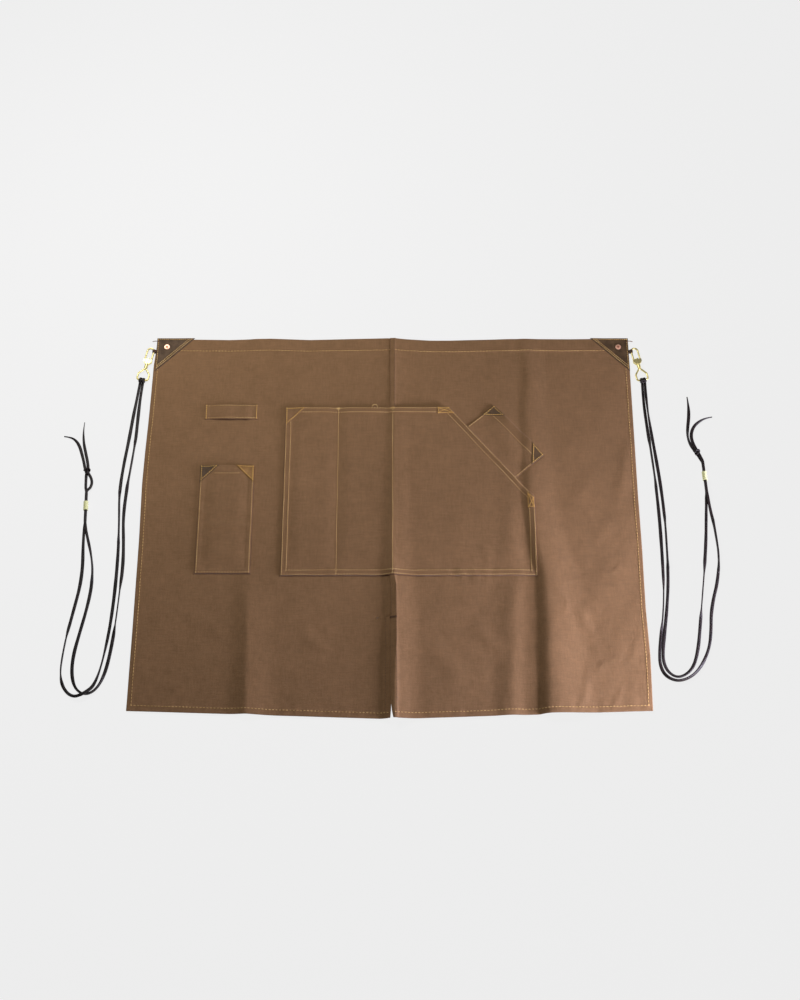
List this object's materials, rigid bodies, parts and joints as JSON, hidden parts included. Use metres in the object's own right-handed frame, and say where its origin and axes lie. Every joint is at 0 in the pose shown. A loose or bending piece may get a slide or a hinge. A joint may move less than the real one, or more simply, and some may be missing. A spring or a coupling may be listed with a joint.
{
  "type": "waist apron",
  "caption": "Waxed canvas waist apron laid flat, with leather-patched pockets, a utility loop, a leg vent, brass swivel snaps and leather waist laces.",
  "frame": {"origin": "on the resting plane, under the middle of the apron without its laces", "axes": "+X across the width, +Y towards the waist edge, +Z out of the front of the cloth"},
  "size_m": [1.0994, 0.6869, 0.011],
  "materials": {
    "canvas": "waxed brown canvas, matt with a faint sheen",
    "patch_leather": "dark olive-brown waxed leather",
    "lace_leather": "near-black brown lace leather",
    "tab_leather": "dark brown strap leather",
    "brass": "polished solid brass",
    "copper": "bright copper",
    "spring_steel": "plain steel wire"
  },
  "bodies": {
    "apron": {"left_panel": "canvas", "right_panel": "canvas", "main_pocket": "canvas", "tool_pocket": "canvas", "phone_pocket": "canvas", "utility_loop": "canvas", "main_pocket_corner_patch": "patch_leather", "slant_mouth_upper_tab": "patch_leather", "slant_mouth_lower_tab": "patch_leather", "phone_pocket_left_patch": "patch_leather", "phone_pocket_right_patch": "patch_leather", "tool_pocket_upper_patch": "patch_leather", "tool_pocket_lower_patch": "patch_leather", "left_corner_patch": "patch_leather", "left_rivet": "copper", "left_rivet_burr": "copper", "left_hook_tab": "tab_leather", "right_corner_patch": "patch_leather", "right_rivet": "copper", "right_rivet_burr": "copper", "right_hook_tab": "tab_leather"},
    "left_snap": {"left_snap_hook": "brass", "left_gate_pin": "spring_steel", "left_gate_spring": "spring_steel", "left_lace_a": "lace_leather", "left_lace_b": "lace_leather", "left_lace_pair": "lace_leather", "left_upper_a": "lace_leather", "left_upper_b": "lace_leather", "left_tail_a": "lace_leather", "left_tail_b": "lace_leather", "left_knot": "lace_leather"},
    "left_gate": {"left_gate": "brass"},
    "left_eye": {"left_swivel_eye": "brass", "left_lace_hitch": "lace_leather"},
    "left_bead": {"left_bead": "brass"},
    "right_snap": {"right_snap_hook": "brass", "right_gate_pin": "spring_steel", "right_gate_spring": "spring_steel", "right_lace_a": "lace_leather", "right_lace_b": "lace_leather", "right_lace_pair": "lace_leather", "right_upper_a": "lace_leather", "right_upper_b": "lace_leather", "right_tail_a": "lace_leather", "right_tail_b": "lace_leather", "right_knot": "lace_leather"},
    "right_gate": {"right_gate": "brass"},
    "right_eye": {"right_swivel_eye": "brass", "right_lace_hitch": "lace_leather"},
    "right_bead": {"right_bead": "brass"}
  },
  "joints": [
    {"name": "left_snap_swing", "type": "hinge", "parent": "apron", "child": "left_snap", "pos_m": [-0.4198, 0.3167, 0.0032], "axis": [0, 0, -1], "range_deg": [0, 80]},
    {"name": "left_gate_hinge", "type": "hinge", "parent": "left_snap", "child": "left_gate", "pos_m": [-0.42902, 0.29914, 0.0032], "axis": [0, 0, -1], "range_deg": [0, 20], "stiffness_Nm_per_rad": 0.02, "springref_deg": -14.32},
    {"name": "left_eye_swivel", "type": "hinge", "parent": "left_snap", "child": "left_eye", "pos_m": [-0.4198, 0.3167, 0.0032], "axis": [-0.1908, -0.9816, 0], "continuous": true},
    {"name": "left_bead_slide", "type": "slide", "parent": "left_snap", "child": "left_bead", "axis": [-0.0488, 0.9988, 0], "range_m": [-0.015, 0.012]},
    {"name": "right_snap_swing", "type": "hinge", "parent": "apron", "child": "right_snap", "pos_m": [0.4198, 0.3167, 0.0032], "axis": [0, 0, 1], "range_deg": [0, 80]},
    {"name": "right_gate_hinge", "type": "hinge", "parent": "right_snap", "child": "right_gate", "pos_m": [0.42902, 0.29914, 0.0032], "axis": [0, 0, 1], "range_deg": [0, 20], "stiffness_Nm_per_rad": 0.02, "springref_deg": -14.32},
    {"name": "right_eye_swivel", "type": "hinge", "parent": "right_snap", "child": "right_eye", "pos_m": [0.4198, 0.3167, 0.0032], "axis": [0.1908, -0.9816, 0], "continuous": true},
    {"name": "right_bead_slide", "type": "slide", "parent": "right_snap", "child": "right_bead", "axis": [-0.0333, 0.9994, 0], "range_m": [-0.015, 0.012]}
  ]
}
